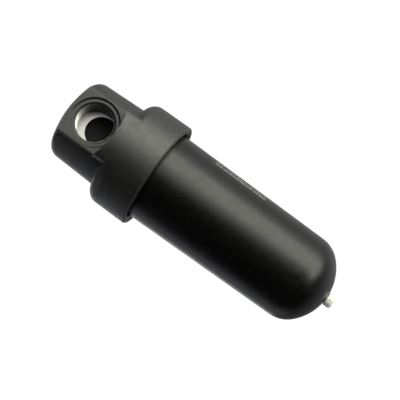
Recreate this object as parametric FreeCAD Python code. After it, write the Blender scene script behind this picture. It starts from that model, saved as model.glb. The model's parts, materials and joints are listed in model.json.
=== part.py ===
import FreeCAD, Part
import math
import os

os.makedirs("parts", exist_ok=True)

# Compressed air filter, mm. +Z is up, the pipe runs along X, and the origin is where
# the pipe's axis crosses the filter's axis.

# --- filter head, outside
APEX_Z = 28.3            # top of the dome
CROWN_R = 84.0           # radius of the dome
CORNER_R = 10.0          # dome to side wall
NECK_TOP_R = 35.1        # side wall under the dome
NECK_LOW_R = 36.4        # side wall at the shoulder
SHOULDER_Z = -23.5
SHOULDER_R = 9.8         # rounding of the shoulder
SHOULDER_ROOT_R = 1.2    # hollow rounding where the neck meets it
COLLAR_TOP_R = 46.4
COLLAR_LOW_R = 46.6
RIM_Z = -62.2            # lower end of the collar
RIM_CHAMFER = 1.2

# --- port pads and G1 ports
PAD_FACE_X = 30.0
PAD_HALF_W = 21.5        # half width of the milled flat
PAD_DRAFT = 0.28         # sideways lean of the pad's sides per mm outwards
PAD_ROOT_X = 20.0        # the pads start inside the neck
PAD_STEP_Z = -21.2       # the flat is milled down to here, in the middle
MILL_R = 60.0            # the mill leaves an arc of this radius there
PAD_EDGE_R = 1.0         # upright edges of the milled flat
PAD_END_SIDE = 38.5      # the pads end in a dome of this radius
PAD_END_R = 5.0
FOOT_R = 3.0             # rounding where the pads meet the neck
STEP_HALF_W = 22.9       # half width of the pads below the step
STEP_CORNER_R = 6.0      # and their outer corners
SPOT_R = 19.2            # floor of the spot face, inside a 45 degree wall
SPOT_DEPTH = 1.6
PORT_CHAMFER_R = 17.3    # mouth of the thread
THREAD_MINOR_R = 15.145
THREAD_DEPTH = 19.0
PASSAGE_R = 13.2
PASSAGE_Z = -5.2
WEB_HALF = 2.5           # wall between the two passages

# --- hub that the element plugs into
HUB_BORE_R = 12.0
HUB_OUT_R = 15.0
HUB_TOP_Z = -26.5
HUB_LOW_Z = -52.0
POCKET_R = 31.0
POCKET_Z = -19.6

# --- neck joint between head and bowl
SEAL_BORE_R = 38.2
SEAL_TOP_Z = -33.0
THREAD_TOP_Z = -42.5
HEAD_ROOT_R = 41.2
HEAD_CREST_R = 40.2
BOWL_ROOT_R = 38.7
BOWL_CREST_R = 39.8
PITCH = 4.0
TURNS = 4

# --- bowl
BOWL_TOP_Z = -33.6
BOWL_LOW_R = 36.7        # at the start of the dome
DOME_Z = -197.3
DOME_CROWN_R = 41.5
DOME_KNUCKLE_R = 25.4
WALL = 3.6
MOUTH_R = 32.2           # inside the neck
MOUTH_FLARE_Z = -66.5    # the inside widens down to here
BOSS_H = 9.0
BOSS_R = 15.5
DOME_CENTRE_DROP = math.sqrt((DOME_CROWN_R - DOME_KNUCKLE_R) ** 2 - (BOWL_LOW_R - DOME_KNUCKLE_R) ** 2)
TIP_Z = DOME_Z - DOME_CROWN_R + DOME_CENTRE_DROP

# --- element
SPIGOT_R = 11.9
SPIGOT_BORE_R = 8.0
SPIGOT_TOP_Z = -28.5
CAP_TOP_Z = -54.0
CAP_T = 4.0
CAP_R = 28.4
MEDIA_LOW_Z = -172.0
PLEATS = 32
CORE_R = 11.6
CAGE_R = 24.8
SOCK_OUT_R = 28.2
SHEET = 0.6
FOOT_LOW_Z = TIP_Z + 12.6

# --- drain
STEM_HOLE_R = 5.0
HOUSING_R = 14.0
HOUSING_WALL = 1.4
HOUSING_H = 33.0
FLANGE_Z = TIP_Z + BOSS_H
FLOOR_Z = FLANGE_Z + 4.0
HOUSING_TOP_Z = FLANGE_Z + HOUSING_H
GUIDE_R = 3.0
FLOAT_R = 11.6
FLOAT_RISE = 5.5         # room over the guide tube
FLOAT_LOW_Z = FLOOR_Z + 0.4
FLOAT_TOP_Z = HOUSING_TOP_Z - 12.0
FLOAT_BORE_Z = FLOAT_TOP_Z - 8.6 - FLOAT_RISE
NEEDLE_TIP_Z = FLOOR_Z - 1.6
STEM_R = 3.2
STEM_TOP_Z = FLOOR_Z - 0.3
STEM_LOW_Z = TIP_Z - 4.6
KNOB_R = 5.8
KNOB_TOP_Z = TIP_Z - 0.35
KNOB_LOW_Z = TIP_Z - 6.4
KNOB_END_R = 2.2


def turned(points):
    """Solid of revolution about Z from a closed (radius, z) outline."""
    wire = Part.makePolygon([FreeCAD.Vector(r, 0, z) for r, z in points + points[:1]])
    return Part.Face(wire).revolve(FreeCAD.Vector(), FreeCAD.Vector(0, 0, 1), 360)


def turned_edges(edges):
    """Solid of revolution about Z from the edges of a closed outline in the XZ plane."""
    wire = Part.Wire(Part.__sortEdges__(edges))
    return Part.Face(wire).revolve(FreeCAD.Vector(), FreeCAD.Vector(0, 0, 1), 360)


def line(a, b):
    return Part.makeLine(FreeCAD.Vector(a[0], 0, a[1]), FreeCAD.Vector(b[0], 0, b[1]))


def arc(a, m, b):
    ends = [FreeCAD.Vector(p[0], 0, p[1]) for p in (a, m, b)]
    return Part.Arc(*ends).toShape()


def tube(r_out, r_in, z0, z1):
    outer = Part.makeCylinder(r_out, z1 - z0, FreeCAD.Vector(0, 0, z0))
    return outer.cut(Part.makeCylinder(r_in, z1 - z0, FreeCAD.Vector(0, 0, z0)))


def rod(r, z0, z1):
    return Part.makeCylinder(r, z1 - z0, FreeCAD.Vector(0, 0, z0))


def ring(r_mid, r_cord, z):
    return Part.makeTorus(r_mid, r_cord, FreeCAD.Vector(0, 0, z))


def box(x0, x1, y0, y1, z0, z1):
    return Part.makeBox(x1 - x0, y1 - y0, z1 - z0, FreeCAD.Vector(x0, y0, z0))


def along_x(r, x0, x1, z, side):
    """Cylinder along the pipe's axis, from x0 to x1 on the given side."""
    start = FreeCAD.Vector(side * x0, 0, z)
    return Part.makeCylinder(r, x1 - x0, start, FreeCAD.Vector(side, 0, 0))


def polar(r, angle):
    return r * math.cos(angle), r * math.sin(angle)


def domed_outline(crown_r, corner_r, side_r, apex, sign):
    """Crown and corner arcs from the apex to where the side wall starts.

    Returns the two arcs and the (radius, z) point where they end."""
    offset = side_r - corner_r
    drop = math.sqrt((crown_r - corner_r) ** 2 - offset**2)
    lean = math.asin(offset / (crown_r - corner_r))
    centre_z = apex - sign * crown_r
    corner_z = centre_z + sign * drop

    def crown(angle):
        x, z = crown_r * math.sin(angle), crown_r * math.cos(angle)
        return x, centre_z + sign * z

    def corner(angle):
        x, z = corner_r * math.sin(angle), corner_r * math.cos(angle)
        return offset + x, corner_z + sign * z

    first = arc(crown(0), crown(lean / 2), crown(lean))
    half_way = (lean + math.pi / 2) / 2
    second = arc(crown(lean), corner(half_way), corner(math.pi / 2))
    return [first, second], (side_r, corner_z)


def head_body():
    """The head's round body, solid."""
    edges, start = domed_outline(CROWN_R, CORNER_R, NECK_TOP_R, APEX_Z, 1)
    inner = COLLAR_TOP_R - SHOULDER_R
    low = SHOULDER_Z - SHOULDER_R
    across = NECK_LOW_R + SHOULDER_ROOT_R - inner
    lean = math.asin(across / (SHOULDER_R + SHOULDER_ROOT_R))
    root = (NECK_LOW_R + SHOULDER_ROOT_R, low + (SHOULDER_R + SHOULDER_ROOT_R) * math.cos(lean))

    def shoulder(angle):
        return inner + SHOULDER_R * math.sin(angle), low + SHOULDER_R * math.cos(angle)

    half_way = (lean - math.pi / 2) / 2
    hollow = (root[0] + SHOULDER_ROOT_R * math.sin(half_way), root[1] - SHOULDER_ROOT_R * math.cos(half_way))
    edges.append(line(start, (NECK_LOW_R, root[1])))
    edges.append(arc((NECK_LOW_R, root[1]), hollow, shoulder(lean)))
    edges.append(arc(shoulder(lean), shoulder((lean + math.pi / 2) / 2), (COLLAR_TOP_R, low)))
    edges.append(line((COLLAR_TOP_R, low), (COLLAR_LOW_R, RIM_Z + RIM_CHAMFER)))
    edges.append(line((COLLAR_LOW_R, RIM_Z + RIM_CHAMFER), (COLLAR_LOW_R - RIM_CHAMFER, RIM_Z)))
    edges.append(line((COLLAR_LOW_R - RIM_CHAMFER, RIM_Z), (0, RIM_Z)))
    edges.append(line((0, RIM_Z), (0, APEX_Z)))
    return turned_edges(edges)


def pad_prism(side, x1, y0, y1, z0, z1):
    """Pad on one side of the head, from half width y0 at its root to y1 at x1."""
    corners = [(PAD_ROOT_X, -y0), (x1, -y1), (x1, y1), (PAD_ROOT_X, y0)]
    wire = Part.makePolygon([FreeCAD.Vector(side * x, y, z0) for x, y in corners + corners[:1]])
    return Part.Face(wire).extrude(FreeCAD.Vector(0, 0, z1 - z0))


def pads(side):
    """Low pad behind the milled face, and the full pad below the step."""
    low = SHOULDER_Z - SHOULDER_R - 2
    top = PAD_STEP_Z + 6
    root = PAD_HALF_W + PAD_DRAFT * (PAD_FACE_X - PAD_ROOT_X)
    upper = pad_prism(side, PAD_FACE_X, root, PAD_HALF_W, top - 1, APEX_Z + 1)
    upper = rounded_pad(upper, PAD_EDGE_R, PAD_ROOT_X + 1).common(head_body_wide())
    lower = pad_prism(side, COLLAR_TOP_R + 2, STEP_HALF_W, STEP_HALF_W, low, top)
    lower = lower.common(rod(COLLAR_TOP_R - 0.02, low, top))
    return upper.fuse(rounded_pad(lower, STEP_CORNER_R, PAD_FACE_X))


def rounded_pad(pad, radius, beyond):
    """Round the pad's two upright edges that stand further out than the given distance."""
    corners = []
    for edge in pad.Edges:
        upright = abs(edge.tangentAt(edge.FirstParameter).z) > 0.9
        if upright and edge.Length > 8 and abs(edge.CenterOfMass.x) > beyond:
            corners.append(edge)
    return pad.makeFillet(radius, corners)


def foot_flare(side, y_side):
    """Hollow rounding that leads from the neck up to a pad's leaning side."""
    wall = math.hypot(1, PAD_DRAFT)
    across = (PAD_DRAFT / wall, 1 / wall)
    along = (1 / wall, -PAD_DRAFT / wall)
    base = across[0] * PAD_FACE_X + across[1] * PAD_HALF_W + FOOT_R
    reach = math.sqrt((NECK_TOP_R + FOOT_R) ** 2 - base**2)
    centre = [base * across[k] + reach * along[k] for k in (0, 1)]
    far = math.hypot(*centre)
    on_wall = [centre[k] - FOOT_R * across[k] for k in (0, 1)]
    on_neck = [centre[k] * (1 - FOOT_R / far) for k in (0, 1)]
    aim = [(on_wall[k] + on_neck[k]) / 2 - centre[k] for k in (0, 1)]
    middle = [centre[k] + FOOT_R * aim[k] / math.hypot(*aim) for k in (0, 1)]
    low = SHOULDER_Z - 1.0
    points = [FreeCAD.Vector(side * p[0], y_side * p[1], low) for p in (on_wall, middle, on_neck)]
    inside = FreeCAD.Vector(side * PAD_ROOT_X, y_side * (PAD_HALF_W - 1), low)
    loop = [Part.Arc(*points).toShape(), Part.makeLine(points[2], inside)]
    loop.append(Part.makeLine(inside, points[0]))
    flare = Part.Face(Part.Wire(loop)).extrude(FreeCAD.Vector(0, 0, APEX_Z - low))
    return flare.common(head_body_wide())


def head_body_wide():
    """The dome's line carried out past the neck, which ends the flares."""
    edges, start = domed_outline(CROWN_R, PAD_END_R, PAD_END_SIDE, APEX_Z, 1)
    low = SHOULDER_Z - SHOULDER_R - 2
    edges.append(line(start, (PAD_END_SIDE, low)))
    edges.append(line((PAD_END_SIDE, low), (0, low)))
    edges.append(line((0, low), (0, APEX_Z)))
    return turned_edges(edges)


def mill(side):
    """Space cut away in front of a milled face, with a round lower end."""
    x0, x1 = sorted((side * PAD_FACE_X, side * 60))
    centre_z = PAD_STEP_Z + MILL_R
    cut = along_x(MILL_R, PAD_FACE_X, 60, centre_z, side)
    return cut.fuse(box(x0, x1, -40, 40, PAD_STEP_Z + 12, APEX_Z + 5)).common(box(x0, x1, -40, 40, -40, 40))


def head_casting():
    """Round body with the two port pads, milled flat down to the step."""
    casting = head_body()
    for side in (-1, 1):
        casting = casting.fuse(pads(side))
        for y_side in (-1, 1):
            casting = casting.fuse(foot_flare(side, y_side))
        casting = casting.cut(mill(side))
    return casting.removeSplitter()


def port_cut(side):
    """Spot face, entry chamfer, tapping bore and passage of one port."""
    face = PAD_FACE_X - SPOT_DEPTH
    chamfer = PORT_CHAMFER_R - THREAD_MINOR_R
    outwards = FreeCAD.Vector(side, 0, 0)
    spot = FreeCAD.Vector(side * face, 0, 0)
    cut = Part.makeCone(SPOT_R, SPOT_R + SPOT_DEPTH + 0.3, SPOT_DEPTH + 0.3, spot, outwards)
    start = FreeCAD.Vector(side * (face - chamfer), 0, 0)
    cone = Part.makeCone(THREAD_MINOR_R, PORT_CHAMFER_R, chamfer, start, outwards)
    cut = cut.fuse(cone)
    cut = cut.fuse(along_x(THREAD_MINOR_R, face - THREAD_DEPTH, face - chamfer, 0, side))
    return cut.fuse(along_x(PASSAGE_R, WEB_HALF, face - THREAD_DEPTH + 0.01, PASSAGE_Z, side))


def passages():
    """Inlet goes down into the hub, outlet comes up from the space around it."""
    deep = PAD_FACE_X - SPOT_DEPTH - THREAD_DEPTH
    inlet = box(WEB_HALF, deep, -8.5, 8.5, HUB_TOP_Z - 1, PASSAGE_Z - 5)
    outlet = box(-deep, -WEB_HALF, -11, 11, POCKET_Z - 3, PASSAGE_Z - 4)
    pocket = rod(POCKET_R, SEAL_TOP_Z - 1, POCKET_Z)
    pocket = pocket.common(box(-40, -WEB_HALF, -40, 40, -60, 0))
    roof = rod(HUB_OUT_R, HUB_TOP_Z - 20, HUB_TOP_Z + 3)
    return [inlet, outlet, pocket.cut(roof)]


def collar_cavity():
    """Seal bore, thread relief, thread turns and mouth of the collar, around the hub."""
    outline = [(HUB_OUT_R, SEAL_TOP_Z), (SEAL_BORE_R, SEAL_TOP_Z), (SEAL_BORE_R, THREAD_TOP_Z + 1.5)]
    outline += [(HEAD_ROOT_R, THREAD_TOP_Z)]
    z = THREAD_TOP_Z - 1.0
    for _ in range(TURNS):
        outline += [(HEAD_ROOT_R, z), (HEAD_CREST_R, z - 0.6)]
        outline += [(HEAD_CREST_R, z - 1.5), (HEAD_ROOT_R, z - 2.1)]
        z -= PITCH
    outline += [(HEAD_ROOT_R, RIM_Z + 2.0), (HEAD_ROOT_R + 2.2, RIM_Z)]
    outline += [(HEAD_ROOT_R + 2.2, RIM_Z - 5), (0, RIM_Z - 5), (0, HUB_LOW_Z)]
    outline += [(HUB_BORE_R + 1.0, HUB_LOW_Z), (HUB_OUT_R, HUB_LOW_Z)]
    return turned(outline)


def filter_head():
    head = head_casting()
    for side in (-1, 1):
        head = head.cut(port_cut(side))
    for hollow in passages():
        head = head.cut(hollow)
    head = head.cut(collar_cavity())
    mouth = Part.makeCone(HUB_BORE_R + 1.0, HUB_BORE_R, 1.0, FreeCAD.Vector(0, 0, HUB_LOW_Z))
    head = head.cut(rod(HUB_BORE_R, HUB_LOW_Z - 1, HUB_TOP_Z).fuse(mouth))
    return head.removeSplitter()


def bowl_outline():
    """Outside and inside of the bowl, from the mouth down to the boss."""
    land = SEAL_BORE_R - 0.3
    outer = [(land - 1.0, BOWL_TOP_Z), (land, BOWL_TOP_Z - 1.0)]
    groove = BOWL_TOP_Z - 2.6
    outer += [(land, groove), (land - 3.1, groove), (land - 3.1, groove - 4.0), (land, groove - 4.0)]
    outer += [(land, THREAD_TOP_Z), (BOWL_ROOT_R, THREAD_TOP_Z - 0.6)]
    z = THREAD_TOP_Z - 2.2
    for _ in range(TURNS):
        outer += [(BOWL_ROOT_R, z), (BOWL_CREST_R, z - 0.7)]
        outer += [(BOWL_CREST_R, z - 1.7), (BOWL_ROOT_R, z - 2.4)]
        z -= PITCH
    return outer


def bowl():
    dome, side = domed_outline(DOME_CROWN_R, DOME_KNUCKLE_R, BOWL_LOW_R, TIP_Z, -1)
    inner = (DOME_CROWN_R - WALL, DOME_KNUCKLE_R - WALL, BOWL_LOW_R - WALL, TIP_Z + WALL)
    low_in = domed_outline(*inner, -1)
    points = bowl_outline()
    edges = [line(a, b) for a, b in zip(points, points[1:])]
    edges.append(line(points[-1], side))
    edges += dome
    edges.append(line((0, TIP_Z), (0, TIP_Z + WALL)))
    edges += low_in[0]
    flare = (MOUTH_R, MOUTH_FLARE_Z)
    edges.append(line(low_in[1], flare))
    edges.append(line(flare, (MOUTH_R, BOWL_TOP_Z)))
    edges.append(line((MOUTH_R, BOWL_TOP_Z), points[0]))
    shell = turned_edges(edges)
    boss = rod(BOSS_R, TIP_Z + 3.4, TIP_Z + BOSS_H)
    shell = shell.fuse(boss).removeSplitter()
    shell = shell.cut(rod(STEM_HOLE_R, TIP_Z - 5, TIP_Z + BOSS_H + 5))
    return shell.removeSplitter()


def bowl_o_ring():
    return ring(SEAL_BORE_R - 0.05 - 1.6, 1.6, BOWL_TOP_Z - 4.6)


def element_top_cap():
    """Closed disc with a hollow spigot above it and a rim around the media's end."""
    groove_in = SPIGOT_R - 2.5
    outline = [(SPIGOT_BORE_R, SPIGOT_TOP_Z), (SPIGOT_R - 0.8, SPIGOT_TOP_Z)]
    outline += [(SPIGOT_R, SPIGOT_TOP_Z - 1.5)]
    for z in (SPIGOT_TOP_Z - 4.0, SPIGOT_TOP_Z - 10.0):
        outline += [(SPIGOT_R, z), (groove_in, z), (groove_in, z - 3.2), (SPIGOT_R, z - 3.2)]
    outline += [(SPIGOT_R, CAP_TOP_Z + 1.5), (SPIGOT_R + 1.5, CAP_TOP_Z)]
    outline += [(CAP_R - 1.0, CAP_TOP_Z), (CAP_R, CAP_TOP_Z - 1.0)]
    outline += [(CAP_R, CAP_TOP_Z - CAP_T - 3.0), (SOCK_OUT_R - 3.2, CAP_TOP_Z - CAP_T - 3.0)]
    outline += [(SOCK_OUT_R - 3.2, CAP_TOP_Z - CAP_T), (SPIGOT_BORE_R, CAP_TOP_Z - CAP_T)]
    return turned(outline)


def spigot_rings():
    cord = 1.22
    mid = HUB_BORE_R - 0.05 - cord
    rings = [ring(mid, cord, SPIGOT_TOP_Z - z - 1.6) for z in (4.0, 10.0)]
    return Part.makeCompound(rings)


def drilled(shell, radius, r_hole, rows, around, z0, z1):
    """Round holes through a tube's wall, in staggered rows."""
    holes = []
    for row in range(rows):
        z = z0 + (z1 - z0) * (row + 0.5) / rows
        for k in range(around):
            angle = 2 * math.pi * (k + 0.5 * (row % 2)) / around
            x, y = polar(radius - 3, angle)
            out = FreeCAD.Vector(math.cos(angle), math.sin(angle), 0)
            holes.append(Part.makeCylinder(r_hole, 6, FreeCAD.Vector(x, y, z), out))
    return shell.cut(Part.makeCompound(holes))


def perforated(radius, r_hole, rows, around):
    z0 = MEDIA_LOW_Z
    z1 = CAP_TOP_Z - CAP_T
    shell = tube(radius, radius - SHEET, z0, z1)
    return drilled(shell, radius, r_hole, rows, around, z0 + 4, z1 - 4)


def element_media():
    """Pleated media as one folded wall between the core and the cage."""
    r_in = CORE_R + 0.3
    r_out = CAGE_R - SHEET - 0.3
    step = math.pi / PLEATS
    thick = 0.75
    outer = []
    inner = []
    for k in range(2 * PLEATS):
        angle = k * step
        r_fold = r_out if k % 2 == 0 else r_in + thick
        outer.append(FreeCAD.Vector(*polar(r_fold, angle), 0))
        r_fold = r_out - 2.2 if k % 2 == 0 else r_in
        inner.append(FreeCAD.Vector(*polar(r_fold, angle), 0))
    z0 = MEDIA_LOW_Z + 2.0
    height = CAP_TOP_Z - CAP_T - 2.0 - z0
    faces = [Part.Face(Part.makePolygon(loop + loop[:1])) for loop in (outer, inner)]
    up = FreeCAD.Vector(0, 0, height)
    wall = faces[0].extrude(up).cut(faces[1].extrude(up))
    wall.translate(FreeCAD.Vector(0, 0, z0))
    return wall


def element_potting():
    low = tube(CAGE_R - SHEET, CORE_R, MEDIA_LOW_Z, MEDIA_LOW_Z + 2.0)
    high = tube(CAGE_R - SHEET, CORE_R, CAP_TOP_Z - CAP_T - 2.0, CAP_TOP_Z - CAP_T)
    return Part.makeCompound([low, high])


def foot(angle):
    """Foot that runs down and outwards to stand on the bowl's rounding."""
    z = MEDIA_LOW_Z - CAP_T
    points = [(17.5, z), (27.0, z), (27.0, z - 9), (24.0, FOOT_LOW_Z), (19.5, FOOT_LOW_Z - 3.1)]
    points.append((17.5, z - 9))
    wire = Part.makePolygon([FreeCAD.Vector(r, -1.5, h) for r, h in points + points[:1]])
    blade = Part.Face(wire).extrude(FreeCAD.Vector(0, 3.0, 0))
    blade.rotate(FreeCAD.Vector(), FreeCAD.Vector(0, 0, 1), angle)
    return blade


def element_bottom_cap():
    z = MEDIA_LOW_Z
    inner_r = SOCK_OUT_R - 3.2
    outline = [(0, z), (inner_r, z), (inner_r, z + 3.0), (CAP_R, z + 3.0)]
    outline += [(CAP_R, z - CAP_T + 1.0), (CAP_R - 1.0, z - CAP_T), (0, z - CAP_T)]
    cap = turned(outline)
    for k in range(4):
        cap = cap.fuse(foot(45 + 90 * k))
    return cap.removeSplitter()


def foam_sock():
    return tube(SOCK_OUT_R, CAGE_R, MEDIA_LOW_Z + 3.0, CAP_TOP_Z - CAP_T - 3.0)


def drain_housing():
    """Flanged cup with a stem through the bowl's boss and four windows in its wall."""
    inside = HOUSING_R - HOUSING_WALL
    bore = STEM_R + 0.1
    rim = HOUSING_R + 1.2
    outline = [(bore, FLOOR_Z), (inside, FLOOR_Z), (inside, HOUSING_TOP_Z)]
    outline += [(HOUSING_R, HOUSING_TOP_Z), (HOUSING_R, FLANGE_Z + 2.5), (rim, FLANGE_Z + 2.5)]
    outline += [(rim, FLANGE_Z), (9.9, FLANGE_Z), (9.9, FLANGE_Z + 1.5), (7.1, FLANGE_Z + 1.5)]
    outline += [(7.1, FLANGE_Z), (STEM_HOLE_R, FLANGE_Z), (STEM_HOLE_R, TIP_Z + 0.6)]
    outline += [(bore, TIP_Z + 0.6)]
    cup = turned(outline)
    for k in range(4):
        window = box(8, 20, -4.5, 4.5, FLOOR_Z + 1.5, FLOOR_Z + 9.5)
        window.rotate(FreeCAD.Vector(), FreeCAD.Vector(0, 0, 1), 90 * k)
        cup = cup.cut(window)
    return cup


def drain_strainer():
    z0 = FLANGE_Z + 2.5
    sleeve = tube(HOUSING_R + 0.6, HOUSING_R, z0, z0 + 13.0)
    return drilled(sleeve, HOUSING_R, 1.1, 3, 20, z0 + 0.5, z0 + 12.5)


def drain_cap():
    """Lid on the housing, with four slots and a socket for the guide tube."""
    z = HOUSING_TOP_Z
    inside = HOUSING_R - HOUSING_WALL
    outline = [(GUIDE_R, z - 5.0), (5.0, z - 5.0), (5.0, z - 2.0), (inside, z - 2.0), (inside, z)]
    outline += [(HOUSING_R + 1.0, z), (HOUSING_R + 1.0, z + 1.6), (GUIDE_R, z + 1.6)]
    lid = turned(outline)
    for k in range(4):
        slot = box(6.5, 11.5, -2.0, 2.0, z - 5, z + 5)
        slot.rotate(FreeCAD.Vector(), FreeCAD.Vector(0, 0, 1), 45 + 90 * k)
        lid = lid.cut(slot)
    return lid


def drain_guide_tube():
    return tube(GUIDE_R, 1.8, FLOAT_TOP_Z - 8.0, HOUSING_TOP_Z + 1.6)


def drain_float():
    """Closed float with a blind bore that slides on the guide tube."""
    outline = [(1.5, FLOAT_LOW_Z), (FLOAT_R - 1.5, FLOAT_LOW_Z), (FLOAT_R, FLOAT_LOW_Z + 1.5)]
    outline += [(FLOAT_R, FLOAT_TOP_Z - 1.5), (FLOAT_R - 1.5, FLOAT_TOP_Z)]
    outline += [(GUIDE_R + 0.4, FLOAT_TOP_Z), (GUIDE_R + 0.4, FLOAT_BORE_Z), (1.5, FLOAT_BORE_Z)]
    return turned(outline)


def drain_needle():
    outline = [(0, NEEDLE_TIP_Z), (0.5, NEEDLE_TIP_Z), (1.1, FLOAT_LOW_Z - 0.4), (1.5, FLOAT_LOW_Z - 0.1)]
    outline += [(1.5, FLOAT_BORE_Z), (0, FLOAT_BORE_Z)]
    return turned(outline)


def drain_seat():
    """Rubber ring in the top of the stem; the needle's cone closes its hole."""
    outline = [(0.8, STEM_TOP_Z - 2.5), (2.2, STEM_TOP_Z - 2.5), (2.2, STEM_TOP_Z - 0.5)]
    outline += [(1.6, STEM_TOP_Z - 0.5), (0.9, STEM_TOP_Z - 1.6)]
    return turned(outline)


def drain_stem():
    """Hollow brass stem: seat recess at the top, O-ring groove, knob at the bottom."""
    top = STEM_TOP_Z
    groove = top - 7.5
    outline = [(2.2, top), (STEM_R, top), (STEM_R, groove), (1.95, groove), (1.95, groove - 1.7)]
    outline += [(STEM_R, groove - 1.7), (STEM_R, STEM_LOW_Z), (1.0, STEM_LOW_Z)]
    outline += [(1.0, top - 2.5), (2.2, top - 2.5)]
    return turned(outline)


def drain_knob_o_ring():
    return ring(3.25 - 0.61, 0.61, STEM_TOP_Z - 8.35)


def drain_knob():
    """Small round knob pressed on the stem, hollowed to sit close under the dome."""
    turn = KNOB_END_R * (1 - math.sqrt(0.5))
    rim = KNOB_R - 0.4
    side_z = KNOB_LOW_Z + KNOB_END_R
    low = [(KNOB_R, side_z), (KNOB_R - turn, KNOB_LOW_Z + turn), (KNOB_R - KNOB_END_R, KNOB_LOW_Z)]
    corners = [low[2], (1.9, KNOB_LOW_Z), (1.9, STEM_LOW_Z), (STEM_R, STEM_LOW_Z), (STEM_R, KNOB_TOP_Z)]
    corners += [(rim, KNOB_TOP_Z + 0.35), (KNOB_R, KNOB_TOP_Z - 0.1), low[0]]
    edges = [arc(*low)] + [line(a, b) for a, b in zip(corners, corners[1:])]
    return turned_edges(edges)


NODES = {
    "filter_head": filter_head(),
    "bowl": bowl(),
    "bowl_o_ring": bowl_o_ring(),
    "element_top_cap": element_top_cap(),
    "element_spigot_o_rings": spigot_rings(),
    "element_inner_core": perforated(CORE_R, 2.6, 9, 8),
    "element_media": element_media(),
    "element_outer_cage": perforated(CAGE_R, 3.6, 9, 14),
    "element_foam_sock": foam_sock(),
    "element_bottom_cap": element_bottom_cap(),
    "element_potting": element_potting(),
    "drain_housing": drain_housing(),
    "drain_housing_o_ring": ring(8.5, 0.75, FLANGE_Z + 0.75),
    "drain_cap": drain_cap(),
    "drain_guide_tube": drain_guide_tube(),
    "drain_float": drain_float(),
    "drain_needle": drain_needle(),
    "drain_seat": drain_seat(),
    "drain_strainer": drain_strainer(),
    "drain_stem": drain_stem(),
    "drain_knob_o_ring": drain_knob_o_ring(),
    "drain_knob": drain_knob(),
}

for name, shape in NODES.items():
    shape.exportStep("parts/%s.step" % name)
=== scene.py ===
import json
import math

import bmesh
import bpy
from mathutils import Matrix, Vector, noise


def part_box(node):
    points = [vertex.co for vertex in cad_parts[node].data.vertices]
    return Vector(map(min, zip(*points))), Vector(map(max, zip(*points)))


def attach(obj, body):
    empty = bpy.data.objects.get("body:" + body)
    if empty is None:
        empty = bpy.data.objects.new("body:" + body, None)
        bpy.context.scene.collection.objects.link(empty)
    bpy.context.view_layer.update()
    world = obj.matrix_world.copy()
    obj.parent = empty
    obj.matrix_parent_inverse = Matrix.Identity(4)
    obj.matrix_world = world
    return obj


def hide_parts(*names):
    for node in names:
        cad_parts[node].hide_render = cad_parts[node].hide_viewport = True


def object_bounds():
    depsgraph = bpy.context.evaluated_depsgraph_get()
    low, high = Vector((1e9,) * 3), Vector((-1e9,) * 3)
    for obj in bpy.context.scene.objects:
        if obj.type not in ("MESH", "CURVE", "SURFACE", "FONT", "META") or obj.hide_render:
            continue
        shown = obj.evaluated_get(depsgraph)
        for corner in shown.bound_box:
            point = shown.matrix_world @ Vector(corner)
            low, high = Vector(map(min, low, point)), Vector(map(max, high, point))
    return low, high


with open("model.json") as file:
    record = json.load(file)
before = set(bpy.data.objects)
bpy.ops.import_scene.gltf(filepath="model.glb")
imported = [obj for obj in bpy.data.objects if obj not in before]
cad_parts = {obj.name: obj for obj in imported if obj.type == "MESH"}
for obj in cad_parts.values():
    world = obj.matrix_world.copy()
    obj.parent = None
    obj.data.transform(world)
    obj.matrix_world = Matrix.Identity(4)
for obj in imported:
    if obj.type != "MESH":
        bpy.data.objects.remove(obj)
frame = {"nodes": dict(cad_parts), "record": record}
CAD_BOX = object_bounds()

NODES = frame["nodes"]
MM = 0.001
UP = Vector((0, 0, 1))

# --- camera: where the photographer stood, in the part's frame, in degrees and metres
CAM_AZIMUTH = 79.9
CAM_ELEVATION = -5.5
CAM_ROLL = 54.16
CAM_DISTANCE = 0.96
CAM_LENS = 108.0          # mm, on a sensor 36 mm wide
CAM_SENSOR = 36.0
CAM_AIM = Vector((0.0004, 0.0044, -0.1003))

# --- studio, metres
FLOOR_DROP = 0.8          # the floor lies this far under the filter
FLOOR_R = 3.0
FLOOR_GLOW = 0.62         # keeps the paper pale where the lamps don't reach; it lights nothing
SURROUND = 1.05           # white that the camera sees all round
SWEEP_SIDE = 0.6          # brightness of the white table behind the filter, on its +Y side
SWEEP_OTHER = 0.15        # and on its -Y side
ROOM = 0.008              # and of the dark room in front

# --- head and ports, mm
BORE_R = 15.145           # crests of the port thread
THREAD_ROOT_R = 16.62
THREAD_PITCH = 2.309
BORE_END_X = 9.4
MOUTH_R = 17.3            # wide end of the chamfer at the port's mouth
SPOT_FLOOR_X = 28.4
THREAD_START_X = SPOT_FLOOR_X - (MOUTH_R - BORE_R)
BARE_MARGIN = 0.3         # bare metal on the chamfer, beyond the thread's start

# --- helical ridge that cuts a port thread, mm
RIDGE_STEPS = 72          # rings in each turn
RIDGE_LEAD_IN = 1.4       # it starts this far outside the spot face
RIDGE_RUN_OUT = 1.6       # and stops this far short of the bore's end
RIDGE_FADE_TURNS = 0.6    # over which it gets shallow at that end
RIDGE_SINK = 0.35         # its foot lies this far inside the bore's wall
RIDGE_LEAST = 0.02        # its smallest height
RIDGE_FOOT = 0.98         # half its width at the foot
RIDGE_TIP = 0.17          # and at the tip

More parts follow.
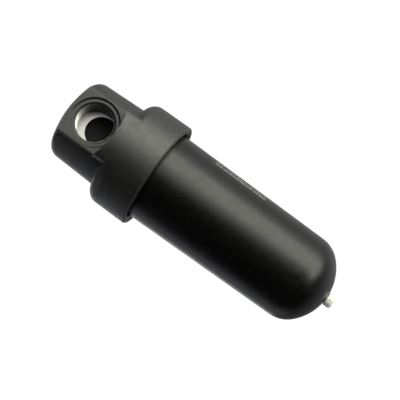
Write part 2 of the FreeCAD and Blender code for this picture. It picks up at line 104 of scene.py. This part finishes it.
# --- foam sleeve of the element, mm
SOCK_OUT_R = 28.2
SOCK_IN_R = 24.85
SOCK_BODY_R = 27.35
SOCK_AROUND = 300         # points round the sleeve, and rows along it
SOCK_ALONG = 150
SOCK_CLEAR = 0.05
SEAM_ANGLE = 40.0         # degrees
LAP_HALF_ANGLE = 0.16     # radians
LAP_PROUD = 0.6
LAP_ROUND = 0.35          # power that rounds the lap's edges
LUMP_R = 26.0
LUMPS = ((0.16, 0.12), (0.1, 0.8), (0.05, 2.1))     # height of each size of lump, and how close they lie
TUCK_DEPTH = 0.5          # how far the sleeve draws in at the caps
TUCK_LENGTH = 1.6

# --- stitches in its lap, mm
STITCH = 2.6              # length of a zig and a zag
STITCH_SWING = 0.055      # radians
STITCH_STEPS = 6          # points in each zig
STITCH_R = 0.16
STITCH_DIP = 0.22         # how far the thread sinks into the foam where it turns
STITCH_CLEAR = 0.02

# --- print on the bowl, mm and degrees
PRINT_TOP_Z = -95.0
PRINT_LOW_Z = -143.0
PRINT_ANGLE = 61.0
PRINT_PROUD = 0.04
PRINT_ROOT = -0.15        # the ink's underside, within the wall
PRINT_STEP = 0.6          # longest facet across a bar
BAR_WIDTHS = (0.7, 1.1, 0.5, 0.9)
BAR_GAPS = (0.75, 0.6, 1.0, 0.7, 0.9)
BARS = (-4.2, -1.6)       # from the strip's middle
LONG_BAR = 0.9
TICKS = (0.8, 3.0)
LONG_TICK = 1.1

# --- straight wall of the bowl, metres, where its taper is measured
WALL_LOW_Z = -0.2
WALL_TOP_Z = -0.064
WALL_LEAST_R = 0.035


# ---------------------------------------------------------------- camera and light

def direction(azimuth, elevation):
    a, e = math.radians(azimuth), math.radians(elevation)
    return Vector((math.sin(a) * math.cos(e), -math.cos(a) * math.cos(e), math.sin(e)))


def link(thing):
    bpy.context.scene.collection.objects.link(thing)
    return thing


def add_camera():
    back = direction(CAM_AZIMUTH, CAM_ELEVATION)
    camera = link(bpy.data.objects.new("camera", bpy.data.cameras.new("camera")))
    camera.data.lens = CAM_LENS
    camera.data.sensor_width = CAM_SENSOR
    camera.data.clip_start = 0.01
    roll = Matrix.Rotation(math.radians(-CAM_ROLL), 3, "Z")
    turn = (-back).to_track_quat("-Z", "Y").to_matrix() @ roll
    camera.matrix_world = Matrix.Translation(CAM_AIM + back * CAM_DISTANCE) @ turn.to_4x4()
    bpy.context.scene.camera = camera


def add_light(name, angle, distance, width, length, radiance, colour, lift=0.0):
    """Soft box aimed at the filter, its long side upright.

    The angle is level, in degrees from the camera's side towards +Y. The lift is the rise for each
    metre along the level. The rest is in metres.
    """
    front = direction(CAM_AZIMUTH, 0)
    side = UP.cross(front)
    flat = front * math.cos(math.radians(angle)) + side * math.sin(math.radians(angle))
    bearing = (flat + UP * lift).normalized()

    light = bpy.data.lights.new(name, "AREA")
    light.shape = "RECTANGLE"
    light.size = width
    light.size_y = length
    light.energy = radiance * math.pi * width * length
    light.color = colour
    box = link(bpy.data.objects.new(name, light))
    turn = bearing.to_track_quat("Z", "Y").to_matrix()
    box.matrix_world = Matrix.Translation(CAM_AIM + bearing * distance) @ turn.to_4x4()
    box.visible_camera = False


def add_lights():
    add_light("key_box", angle=52, lift=-0.22, distance=1.2, width=1.05, length=2.3,
              radiance=4.4, colour=(0.99, 1.0, 0.9))
    add_light("side_box", angle=88, lift=-0.1, distance=1.3, width=0.5, length=2.0,
              radiance=0.85, colour=(1.0, 1.0, 0.95))
    add_light("port_box", angle=20, lift=0.2, distance=1.5, width=0.5, length=0.6,
              radiance=2.1, colour=(1.0, 1.0, 0.94))
    add_light("neck_box", angle=-88, lift=0.6, distance=1.2, width=0.35, length=0.4,
              radiance=1.1, colour=(0.9, 0.92, 1.0))
    add_light("low_box", angle=30, lift=-1.5, distance=1.2, width=0.8, length=0.6,
              radiance=0.4, colour=(1.0, 1.0, 0.96))
    add_light("back_box", angle=200, lift=0.3, distance=1.8, width=1.2, length=1.6,
              radiance=1.2, colour=(0.95, 0.97, 1.0))
    add_light("left_box", angle=-118, distance=1.4, width=0.5, length=1.6,
              radiance=0.5, colour=(0.88, 0.9, 1.0))


def add_world():
    """White all round for the camera. Reflections see a white sweep behind the filter and a dark room."""
    world = bpy.data.worlds.new("studio")
    world.use_nodes = True
    tree = world.node_tree
    front = direction(CAM_AZIMUTH, 0)
    toward = add(tree, "ShaderNodeTexCoord").outputs["Generated"]

    def along(axis):
        dot = add(tree, "ShaderNodeVectorMath", operation="DOT_PRODUCT")
        tree.links.new(toward, dot.inputs[0])
        dot.inputs[1].default_value = axis
        return dot.outputs["Value"]

    behind = ranged(tree, along(-front), -0.05, 0.45, 0.0, 1.0)
    sweep = ranged(tree, along(UP.cross(front)), -0.5, 0.5, SWEEP_OTHER, SWEEP_SIDE)
    lit = math_node(tree, "MULTIPLY_ADD", behind, sweep, ROOM)
    seen = add(tree, "ShaderNodeLightPath").outputs["Is Camera Ray"]
    background = tree.nodes["Background"]
    background.inputs["Color"].default_value = (1, 1, 1, 1)
    put(tree, background.inputs["Strength"], level(tree, seen, lit, SURROUND))
    bpy.context.scene.world = world
    bpy.context.scene.view_settings.view_transform = "Standard"


def add_floor():
    """Round sheet of pale paper, far enough below to take no shadow in the camera's view."""
    mesh = bmesh.new()
    bmesh.ops.create_circle(mesh, cap_ends=True, segments=96, radius=FLOOR_R)
    floor = as_object(mesh, "floor")
    floor.location.z = CAD_BOX[0].z - FLOOR_DROP
    material, tree, shader, place = surface("floor_paper", 0.9)
    grain = cloud(tree, place, scale=6.0, detail=3)
    put(tree, shader.inputs["Base Color"], tint(tree, grain, (0.86, 0.86, 0.86), (0.9, 0.9, 0.9)))
    put(tree, shader.inputs["Emission Color"], (1.0, 1.0, 1.0))
    seen = add(tree, "ShaderNodeLightPath").outputs["Is Camera Ray"]
    put(tree, shader.inputs["Emission Strength"], level(tree, seen, 0.0, FLOOR_GLOW))
    floor.data.materials.append(material)
    floor.visible_glossy = False


# ---------------------------------------------------------------- node helpers

def add(tree, kind, **settings):
    made = tree.nodes.new(kind)
    for name, value in settings.items():
        setattr(made, name, value)
    return made


def put(tree, socket, value):
    """Link an output, or set a plain value, on an input."""
    if isinstance(value, bpy.types.NodeSocket):
        tree.links.new(value, socket)
    elif isinstance(value, tuple) and len(value) == 3 and len(socket.default_value) == 4:
        socket.default_value = (*value, 1.0)
    else:
        socket.default_value = value


def surface(name, roughness, metallic=0.0, **sockets):
    """Material with a principled shader, and the coordinates in metres in the part's frame."""
    material = bpy.data.materials.new(name)
    material.use_nodes = True
    tree = material.node_tree
    shader = tree.nodes["Principled BSDF"]
    shader.inputs["Roughness"].default_value = roughness
    shader.inputs["Metallic"].default_value = metallic
    for socket, value in sockets.items():
        shader.inputs[socket.replace("_", " ")].default_value = value
    place = add(tree, "ShaderNodeTexCoord").outputs["Object"]
    return material, tree, shader, place


def stretched(tree, place, scale):
    mapping = add(tree, "ShaderNodeMapping")
    put(tree, mapping.inputs["Vector"], place)
    mapping.inputs["Scale"].default_value = scale
    return mapping.outputs["Vector"]


def cloud(tree, place, scale, detail=2.0, roughness=0.5, distortion=0.0):
    """Soft noise from 0 to 1, with this many lumps in a metre."""
    made = add(tree, "ShaderNodeTexNoise")
    put(tree, made.inputs["Vector"], place)
    made.inputs["Scale"].default_value = scale
    made.inputs["Detail"].default_value = detail
    made.inputs["Roughness"].default_value = roughness
    made.inputs["Distortion"].default_value = distortion
    return made.outputs["Fac"]


def cells(tree, place, scale, feature="F1"):
    made = add(tree, "ShaderNodeTexVoronoi", feature=feature)
    put(tree, made.inputs["Vector"], place)
    made.inputs["Scale"].default_value = scale
    return made.outputs["Distance"]


def ranged(tree, value, low, high, to_low, to_high):
    """Smooth step from to_low, at low, to to_high, at high."""
    made = add(tree, "ShaderNodeMapRange", interpolation_type="SMOOTHSTEP")
    put(tree, made.inputs["Value"], value)
    ends = {"From Min": low, "From Max": high, "To Min": to_low, "To Max": to_high}
    for socket, number in ends.items():
        made.inputs[socket].default_value = number
    return made.outputs["Result"]


def tint(tree, factor, first, second):
    """Colour between two. The mix node has a socket of each name for each type, so they go by number."""
    factor_in, first_in, second_in, colour_out = 0, 6, 7, 2
    made = add(tree, "ShaderNodeMix", data_type="RGBA")
    put(tree, made.inputs[factor_in], factor)
    put(tree, made.inputs[first_in], first)
    put(tree, made.inputs[second_in], second)
    return made.outputs[colour_out]


def level(tree, factor, first, second):
    """Plain number between two."""
    made = add(tree, "ShaderNodeMix", data_type="FLOAT")
    for socket, value in zip(("Factor", "A", "B"), (factor, first, second)):
        put(tree, made.inputs[socket], value)
    return made.outputs["Result"]


def math_node(tree, operation, *values):
    made = add(tree, "ShaderNodeMath", operation=operation)
    for socket, value in zip(made.inputs, values):
        put(tree, socket, value)
    return made.outputs[0]


def bump(tree, height, strength, depth, before=None):
    """Bump whose depth is in metres, over an earlier bump."""
    made = add(tree, "ShaderNodeBump")
    made.inputs["Strength"].default_value = strength
    made.inputs["Distance"].default_value = depth
    put(tree, made.inputs["Height"], height)
    if before is not None:
        put(tree, made.inputs["Normal"], before)
    return made.outputs["Normal"]


def edge_wear_and_highlight(tree, place, radius, patches, least, strength):
    """Strength of wear and painted highlight along sharp edges, in patches, and 0 elsewhere."""
    rounded = add(tree, "ShaderNodeBevel", samples=6)
    rounded.inputs["Radius"].default_value = radius
    dot = add(tree, "ShaderNodeVectorMath", operation="DOT_PRODUCT")
    put(tree, dot.inputs[0], rounded.outputs["Normal"])
    put(tree, dot.inputs[1], add(tree, "ShaderNodeNewGeometry").outputs["Normal"])
    edge = ranged(tree, dot.outputs["Value"], 0.995, 0.88, 0.0, 1.0)
    patchy = ranged(tree, cloud(tree, place, scale=patches, detail=3), 0.3, 0.65, least, 1.0)
    return math_node(tree, "MULTIPLY", math_node(tree, "MULTIPLY", edge, patchy), strength)


# ---------------------------------------------------------------- materials

def port_masks(tree, place):
    """1 on the bare threaded wall of a port, and 1 in the passage beyond it."""
    split = add(tree, "ShaderNodeSeparateXYZ")
    put(tree, split.inputs[0], place)
    x, y, z = split.outputs
    square = math_node(tree, "MULTIPLY_ADD", y, y, math_node(tree, "MULTIPLY", z, z))
    off_axis = math_node(tree, "SQRT", square)
    in_bore = ranged(tree, off_axis, (MOUTH_R - 0.1) * MM, MOUTH_R * MM, 1.0, 0.0)
    outwards = math_node(tree, "ABSOLUTE", x)
    outer = math_node(tree, "GREATER_THAN", outwards, (BORE_END_X - 0.05) * MM)
    inner = math_node(tree, "LESS_THAN", outwards, (THREAD_START_X + BARE_MARGIN) * MM)
    bare = math_node(tree, "MULTIPLY", in_bore, math_node(tree, "MULTIPLY", outer, inner))
    deep = math_node(tree, "MULTIPLY", in_bore, math_node(tree, "SUBTRACT", 1.0, outer))
    return bare, deep


def head_coat():
    """Satin black paint on the casting, with its port bores machined bare."""
    material, tree, shader, place = surface("head_coat", 0.5, Specular_IOR_Level=0.88)
    bare, deep = port_masks(tree, place)
    wear_and_highlight = edge_wear_and_highlight(tree, place, radius=0.0009, patches=320, least=0.4, strength=0.8)
    patches = cloud(tree, place, scale=45, detail=4)
    paint = tint(tree, patches, (0.007, 0.0071, 0.007), (0.011, 0.011, 0.0107))
    # Sharp edges are painted lighter: partly wear through the paint, partly a painted highlight along the
    # edges.
    paint = tint(tree, wear_and_highlight, paint, (0.1, 0.1, 0.097))
    # The passage beyond the bore is painted darker than the coat: painted shade inside the recess.
    paint = tint(tree, deep, paint, (0.006, 0.006, 0.0065))
    tooled = cloud(tree, stretched(tree, place, (5200, 60, 60)), scale=1.0, detail=3, roughness=0.6)
    metal = tint(tree, tooled, (0.42, 0.415, 0.4), (0.62, 0.61, 0.59))
    put(tree, shader.inputs["Base Color"], tint(tree, bare, paint, metal))
    put(tree, shader.inputs["Metallic"], bare)
    satin = ranged(tree, cloud(tree, place, scale=260, detail=3), 0.3, 0.7, 0.46, 0.54)
    machined = ranged(tree, tooled, 0.3, 0.7, 0.3, 0.44)
    put(tree, shader.inputs["Roughness"], level(tree, deep, level(tree, bare, satin, machined), 0.95))
    cast = bump(tree, cloud(tree, place, scale=110), strength=0.35, depth=0.00012)
    peel = bump(tree, cloud(tree, place, scale=1500), strength=0.35, depth=0.00003, before=cast)
    put(tree, shader.inputs["Normal"], peel)
    return material


def bowl_coat():
    """Smoother satin black paint on drawn aluminium, with a few fine scuffs."""
    material, tree, shader, place = surface("bowl_coat", 0.36)
    wear_and_highlight = edge_wear_and_highlight(tree, place, radius=0.0004, patches=300, least=0.2, strength=0.5)
    patches = cloud(tree, place, scale=35, detail=4)
    paint = tint(tree, patches, (0.001, 0.001, 0.001), (0.0022, 0.0022, 0.0021))
    # Sharp edges are painted lighter: partly wear through the paint, partly a painted highlight along the
    # edges.
    put(tree, shader.inputs["Base Color"], tint(tree, wear_and_highlight, paint, (0.06, 0.06, 0.06)))
    across = stretched(tree, place, (90, 90, 900))
    scuffs = cloud(tree, across, scale=1.0, detail=4, roughness=0.65, distortion=0.4)
    scuffed = ranged(tree, scuffs, 0.66, 0.72, 0.0, 0.06)
    satin = ranged(tree, cloud(tree, place, scale=220, detail=3), 0.3, 0.7, 0.33, 0.4)
    put(tree, shader.inputs["Roughness"], math_node(tree, "ADD", satin, scuffed))
    lines = cloud(tree, stretched(tree, place, (160, 160, 12)), scale=1.0)
    drawn = bump(tree, lines, strength=0.3, depth=0.00006)
    peel = bump(tree, cloud(tree, place, scale=1700), strength=0.3, depth=0.00002, before=drawn)
    put(tree, shader.inputs["Normal"], peel)
    return material


def foam():
    """Open-cell foam: pale struts, and painted shade that darkens the pores between them."""
    material, tree, shader, place = surface("foam", 0.95, Sheen_Weight=0.25, Sheen_Roughness=0.5)
    pores = cells(tree, place, 1500, "DISTANCE_TO_EDGE")
    big = cells(tree, place, 700, "DISTANCE_TO_EDGE")
    open_cells = ranged(tree, math_node(tree, "MINIMUM", pores, big), 0.03, 0.3, 0.0, 1.0)
    wall = tint(tree, cloud(tree, place, scale=60, detail=4), (0.68, 0.72, 0.74), (0.82, 0.84, 0.85))
    # The pores are painted darker than the struts: painted shade in the holes of the foam.
    put(tree, shader.inputs["Base Color"], tint(tree, open_cells, wall, (0.3, 0.34, 0.36)))
    deep = math_node(tree, "SUBTRACT", 1.0, open_cells)
    put(tree, shader.inputs["Normal"], bump(tree, deep, strength=0.9, depth=0.0004))
    return material


def float_foam():
    """Closed-cell foam with a skin."""
    material, tree, shader, place = surface("float_foam", 0.7)
    bubbles = cells(tree, place, 1900)
    put(tree, shader.inputs["Base Color"], tint(tree, bubbles, (0.03, 0.03, 0.032), (0.1, 0.1, 0.105)))
    skin = cloud(tree, place, scale=300, detail=3)
    put(tree, shader.inputs["Roughness"], ranged(tree, skin, 0.3, 0.7, 0.6, 0.78))
    put(tree, shader.inputs["Normal"], bump(tree, bubbles, strength=0.6, depth=0.0002))
    return material


def knob_nylon():
    """Off-white, slightly translucent moulded nylon."""
    material, tree, shader, place = surface(
        "knob_nylon", 0.38,
        Subsurface_Weight=0.35, Subsurface_Radius=(0.003, 0.0026, 0.002), Subsurface_Scale=1.0)
    patches = cloud(tree, place, scale=160, detail=4)
    put(tree, shader.inputs["Base Color"], tint(tree, patches, (0.78, 0.77, 0.71), (0.86, 0.855, 0.8)))
    flow = cloud(tree, stretched(tree, place, (400, 400, 1500)), scale=1.0, detail=3)
    put(tree, shader.inputs["Roughness"], ranged(tree, flow, 0.3, 0.7, 0.32, 0.46))
    put(tree, shader.inputs["Normal"], bump(tree, flow, strength=0.3, depth=0.00006))
    return material


def plain(name, low, high, rough, patches, grain, depth, metallic=0.0, along=(1, 1, 1), **sockets):
    """Colour in patches, and a finer grain with its own roughness and relief.

    Both are stretched where the stock is rolled or turned. Patches and grain are in lumps per metre.
    """
    material, tree, shader, place = surface(name, rough[0], metallic, **sockets)
    laid = stretched(tree, place, along)
    colour = tint(tree, cloud(tree, laid, scale=patches, detail=4), low, high)
    put(tree, shader.inputs["Base Color"], colour)
    fine = cloud(tree, laid, scale=grain, detail=3, roughness=0.6)
    put(tree, shader.inputs["Roughness"], ranged(tree, fine, 0.3, 0.7, *rough))
    put(tree, shader.inputs["Normal"], bump(tree, fine, strength=0.4, depth=depth))
    return material


TURNED = (3, 3, 40)
ROLLED = (40, 40, 3)

PLAIN_LOOKS = {
    "nitrile": dict(
        low=(0.008, 0.008, 0.008), high=(0.018, 0.018, 0.018), rough=(0.42, 0.62),
        patches=90, grain=1400, depth=0.00004),
    "seat_rubber": dict(
        low=(0.02, 0.02, 0.02), high=(0.05, 0.05, 0.05), rough=(0.5, 0.7),
        patches=200, grain=1800, depth=0.00004),
    "cap_nylon": dict(
        low=(0.05, 0.058, 0.075), high=(0.075, 0.085, 0.105), rough=(0.34, 0.5),
        patches=60, grain=1600, depth=0.00004),
    "drain_nylon": dict(
        low=(0.05, 0.05, 0.056), high=(0.085, 0.085, 0.092), rough=(0.36, 0.52),
        patches=70, grain=1500, depth=0.00005),
    "core_steel": dict(
        low=(0.5, 0.5, 0.49), high=(0.66, 0.66, 0.65), rough=(0.24, 0.44),
        patches=14, grain=60, depth=0.00003, metallic=1.0, along=ROLLED),
    "cage_steel": dict(
        low=(0.5, 0.5, 0.49), high=(0.66, 0.66, 0.65), rough=(0.24, 0.44),
        patches=12, grain=50, depth=0.00003, metallic=1.0, along=ROLLED),
    "guide_steel": dict(
        low=(0.5, 0.5, 0.5), high=(0.66, 0.66, 0.66), rough=(0.18, 0.36),
        patches=20, grain=160, depth=0.00003, metallic=1.0, along=TURNED),
    "strainer_steel": dict(
        low=(0.42, 0.42, 0.41), high=(0.62, 0.62, 0.6), rough=(0.26, 0.5),
        patches=300, grain=1500, depth=0.00004, metallic=1.0),
    "brass": dict(
        low=(0.6, 0.42, 0.16), high=(0.82, 0.62, 0.3), rough=(0.2, 0.4),
        patches=30, grain=200, depth=0.00003, metallic=1.0, along=TURNED),
    "media_fibre": dict(
        low=(0.7, 0.68, 0.62), high=(0.88, 0.87, 0.83), rough=(0.85, 0.98),
        patches=120, grain=2600, depth=0.00015, along=(1, 1, 0.3), Sheen_Weight=0.2),
    "resin": dict(
        low=(0.4, 0.33, 0.2), high=(0.56, 0.48, 0.32), rough=(0.18, 0.34),
        patches=70, grain=900, depth=0.00005, Subsurface_Weight=0.15, Subsurface_Scale=0.002),
}


def make_materials():
    materials = {
        "head_coat": head_coat(),
        "bowl_coat": bowl_coat(),
        "foam": foam(),
        "float_foam": float_foam(),
        "knob_nylon": knob_nylon(),
    }
    for name, look in PLAIN_LOOKS.items():
        materials[name] = plain(name, **look)
    return materials


def dress_nodes(materials):
    for row in frame["record"]["subparts"]:
        node = NODES[row["node"]]
        node.data.materials.clear()
        node.data.materials.append(materials[row["material_slot"]])
        clean_shading(node)


# ---------------------------------------------------------------- mesh helpers

def as_object(mesh, name):
    data = bpy.data.meshes.new(name)
    mesh.to_mesh(data)
    mesh.free()
    return link(bpy.data.objects.new(name, data))


def smooth(data, angle=30.0):
    data.polygons.foreach_set("use_smooth", [True] * len(data.polygons))
    data.set_sharp_from_angle(angle=math.radians(angle))


def shading_group():
    """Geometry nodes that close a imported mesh's seams and shade its edges sharp above an angle."""
    group = bpy.data.node_groups.new("clean_shading", "GeometryNodeTree")
    for way in ("INPUT", "OUTPUT"):
        group.interface.new_socket("Geometry", in_out=way, socket_type="NodeSocketGeometry")
    weld = add(group, "GeometryNodeMergeByDistance")
    weld.inputs["Distance"].default_value = 1e-6
    bare = add(group, "GeometryNodeRemoveAttribute")
    bare.inputs["Name"].default_value = "custom_normal"
    mild = add(group, "FunctionNodeCompare", operation="LESS_THAN")
    put(group, mild.inputs[0], add(group, "GeometryNodeInputMeshEdgeAngle").outputs["Unsigned Angle"])
    mild.inputs[1].default_value = math.radians(28)
    faces = add(group, "GeometryNodeSetShadeSmooth", domain="FACE")
    lines = add(group, "GeometryNodeSetShadeSmooth", domain="EDGE")
    put(group, lines.inputs["Shade Smooth"], mild.outputs[0])
    chain = [add(group, "NodeGroupInput"), weld, bare, faces, lines, add(group, "NodeGroupOutput")]
    for before, after in zip(chain, chain[1:]):
        put(group, after.inputs[0], before.outputs[0])
    return group


def clean_shading(piece, even=True):
    """Smooth shading with no seams, by modifiers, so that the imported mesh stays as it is."""
    group = bpy.data.node_groups.get("clean_shading") or shading_group()
    piece.modifiers.new("clean_shading", "NODES").node_group = group
    if even:
        weighted = piece.modifiers.new("even_normals", "WEIGHTED_NORMAL")
        weighted.keep_sharp = True
        weighted.weight = 80


def circle_angles(count):
    return [2 * math.pi * i / count for i in range(count)]


def sweep(mesh, rings, closed=False):
    """Skin a list of equal rings of points; an open sweep is capped at both ends."""
    loops = [[mesh.verts.new(p) for p in ring] for ring in rings]
    count = len(loops[0])
    following = loops[1:] + loops[:1] if closed else loops[1:]
    for a, b in zip(loops, following):
        for i in range(count):
            j = (i + 1) % count
            mesh.faces.new((a[i], a[j], b[j], b[i]))
    if not closed:
        mesh.faces.new(loops[0][::-1])
        mesh.faces.new(loops[-1])


def round_tube(path, radius, sides=6):
    """Rings of points, in metres, along a path in mm that runs round the Z axis."""
    rings = []
    for i, here in enumerate(path):
        ahead = (path[min(i + 1, len(path) - 1)] - path[max(i - 1, 0)]).normalized()
        across = ahead.cross(Vector((here.x, here.y, 0))).normalized()
        third = ahead.cross(across)
        turns = circle_angles(sides)
        rings.append([(here + (across * math.cos(a) + third * math.sin(a)) * radius) * MM for a in turns])
    return rings


def closed_piece(mesh, name, material, angle):
    """Object from a closed mesh, shaded smooth below an angle in degrees."""
    bmesh.ops.recalc_face_normals(mesh, faces=mesh.faces)
    piece = as_object(mesh, name)
    smooth(piece.data, angle)
    piece.data.materials.append(material)
    return piece


# ---------------------------------------------------------------- ports with real threads

def thread_cutter(side):
    """Closed helical ridge that cuts the right-handed pipe thread of one port."""
    start_x = SPOT_FLOOR_X + RIDGE_LEAD_IN
    end_x = BORE_END_X + RIDGE_RUN_OUT
    steps = (start_x - end_x) / THREAD_PITCH * RIDGE_STEPS
    foot_r = BORE_R - RIDGE_SINK
    least_r = foot_r + RIDGE_LEAST
    rings = []
    for i in range(int(steps) + 1):
        angle = 2 * math.pi * i / RIDGE_STEPS
        x = start_x - THREAD_PITCH * i / RIDGE_STEPS
        turns_left = (steps - i) / RIDGE_STEPS
        tip_r = least_r + (THREAD_ROOT_R - least_r) * min(1.0, turns_left / RIDGE_FADE_TURNS)
        profile = ((RIDGE_FOOT, foot_r), (RIDGE_TIP, tip_r), (-RIDGE_TIP, tip_r), (-RIDGE_FOOT, foot_r))
        ring = []
        for dx, r in profile:
            ring.append(Vector((side * (x + dx), -side * r * math.cos(angle), -r * math.sin(angle))) * MM)
        rings.append(ring)
    mesh = bmesh.new()
    sweep(mesh, rings)
    bmesh.ops.recalc_face_normals(mesh, faces=mesh.faces)
    return as_object(mesh, "cutter")


def threaded_head(material):
    """The cast head with its port threads cut."""
    head = link(bpy.data.objects.new("filter_head_threaded", NODES["filter_head"].data.copy()))
    clean_shading(head, even=False)
    cutters = [thread_cutter(1), thread_cutter(-1)]
    for cutter in cutters:
        modifier = head.modifiers.new("thread", "BOOLEAN")
        modifier.object = cutter
        modifier.operation = "DIFFERENCE"
        modifier.solver = "EXACT"
    clean_shading(head)
    graph = bpy.context.evaluated_depsgraph_get()
    cut = bpy.data.meshes.new_from_object(head.evaluated_get(graph))
    head.modifiers.clear()
    head.data = cut
    for cutter in cutters:
        bpy.data.objects.remove(cutter)
    cut.materials.clear()
    cut.materials.append(material)
    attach(head, "head")
    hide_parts("filter_head")


# ---------------------------------------------------------------- foam sleeve

def sleeve_radius(angle, z, height):
    """Outer radius of the sleeve, mm: its body, the lap over the seam, lumps, and tucks at both ends."""
    offset = (angle - math.radians(SEAM_ANGLE) + math.pi) % (2 * math.pi) - math.pi
    lap = max(0.0, 1 - abs(offset) / LAP_HALF_ANGLE) ** LAP_ROUND * LAP_PROUD
    here = Vector((math.cos(angle) * LUMP_R, math.sin(angle) * LUMP_R, z))
    lumps = sum(size * noise.noise(here * closeness) for size, closeness in LUMPS)
    tucked = TUCK_DEPTH * math.exp(-min(z, height - z) / TUCK_LENGTH)
    return min(SOCK_OUT_R - SOCK_CLEAR, SOCK_BODY_R + lap + lumps - tucked)


def foam_sleeve(material):
    """Sleeve of open foam round the cage, with a lapped and stitched seam."""
    lo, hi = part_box("element_foam_sock")
    height = (hi.z - lo.z) / MM
    angles = circle_angles(SOCK_AROUND)
    rings = []
    for k in range(SOCK_ALONG + 1):
        z = height * k / SOCK_ALONG
        ring = []
        for angle in angles:
            r = sleeve_radius(angle, z, height)
            ring.append(Vector((r * math.cos(angle), r * math.sin(angle), lo.z / MM + z)) * MM)
        rings.append(ring)
    inner_r = SOCK_IN_R * MM
    for z in (hi.z, lo.z):
        rings.append([Vector((inner_r * math.cos(a), inner_r * math.sin(a), z)) for a in angles])
    mesh = bmesh.new()
    sweep(mesh, rings, closed=True)
    sleeve = closed_piece(mesh, "foam_sleeve", material, 50)
    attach(sleeve, "element")
    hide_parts("element_foam_sock")


def seam_stitches():
    """Zigzag thread that holds the sleeve's lap."""
    lo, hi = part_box("element_foam_sock")
    count = int((hi.z - lo.z) / MM / STITCH * 2) - 4
    path = []
    for i in range(count * STITCH_STEPS + 1):
        t = i / STITCH_STEPS
        zig = abs((t % 2) - 1) * 2 - 1
        angle = math.radians(SEAM_ANGLE) + STITCH_SWING * zig
        r = SOCK_OUT_R - STITCH_R - STITCH_CLEAR - STITCH_DIP * abs(zig) ** 6
        path.append(Vector((r * math.cos(angle), r * math.sin(angle), lo.z / MM + STITCH * (1 + t / 2))))
    mesh = bmesh.new()
    sweep(mesh, round_tube(path, STITCH_R))
    material = plain("stitch_thread", low=(0.72, 0.74, 0.74), high=(0.86, 0.87, 0.86), rough=(0.6, 0.8),
                     patches=400, grain=4000, depth=0.00005)
    thread = closed_piece(mesh, "sleeve_stitches", material, 60)
    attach(thread, "element")


# ---------------------------------------------------------------- print on the bowl

def bowl_radius(z):
    """Outside radius of the bowl at a height, both mm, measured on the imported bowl."""
    near = [v.co for v in NODES["bowl"].data.vertices if WALL_LOW_Z < v.co.z < WALL_TOP_Z]
    wide = [(p.z / MM, math.hypot(p.x, p.y) / MM) for p in near if math.hypot(p.x, p.y) > WALL_LEAST_R]
    top, low = max(wide), min(wide)
    return low[1] + (top[1] - low[1]) * (z - low[0]) / (top[0] - low[0])


def print_bar(mesh, z_top, z_low, left, right):
    """Thin raised bar of ink, curved with the bowl; sides are in mm from the strip's middle."""
    facets = max(2, int(abs(right - left) / PRINT_STEP) + 1)
    rows = []
    for z in (z_top, z_low):
        r = bowl_radius(z)
        for lift in (PRINT_PROUD, PRINT_ROOT):
            row = []
            for k in range(facets + 1):
                angle = math.radians(PRINT_ANGLE) + (left + (right - left) * k / facets) / r
                row.append(Vector((math.cos(angle) * (r + lift), math.sin(angle) * (r + lift), z)) * MM)
            rows.append(row)
    top_out, top_in, low_out, low_in = rows
    sweep(mesh, [[a, b, d, c] for a, b, c, d in zip(top_out, top_in, low_out, low_in)])


def bowl_print():
    """Plain bars and ticks, in place of a maker's lettering."""
    mesh = bmesh.new()
    z, k = PRINT_TOP_Z, 0
    while z > PRINT_LOW_Z:
        width = BAR_WIDTHS[k % len(BAR_WIDTHS)]
        long_bar = k % 3 == 0
        long_tick = k % 4 == 1
        missing_tick = k % 7 == 5
        print_bar(mesh, z, z - width, BARS[0], BARS[1] + (LONG_BAR if long_bar else 0.0))
        if not missing_tick:
            print_bar(mesh, z, z - width, TICKS[0], TICKS[1] + (LONG_TICK if long_tick else 0.0))
        z -= width + BAR_GAPS[k % len(BAR_GAPS)]
        k += 1
    material = plain("print_ink", low=(0.17, 0.17, 0.165), high=(0.3, 0.3, 0.29), rough=(0.45, 0.7),
                     patches=500, grain=3500, depth=0.00002)
    marks = closed_piece(mesh, "bowl_print", material, 30)
    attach(marks, "bowl_unit")


# ---------------------------------------------------------------- scene

materials = make_materials()
dress_nodes(materials)
threaded_head(materials["head_coat"])
foam_sleeve(materials["foam"])
seam_stitches()
bowl_print()
add_floor()
add_lights()
add_world()
add_camera()
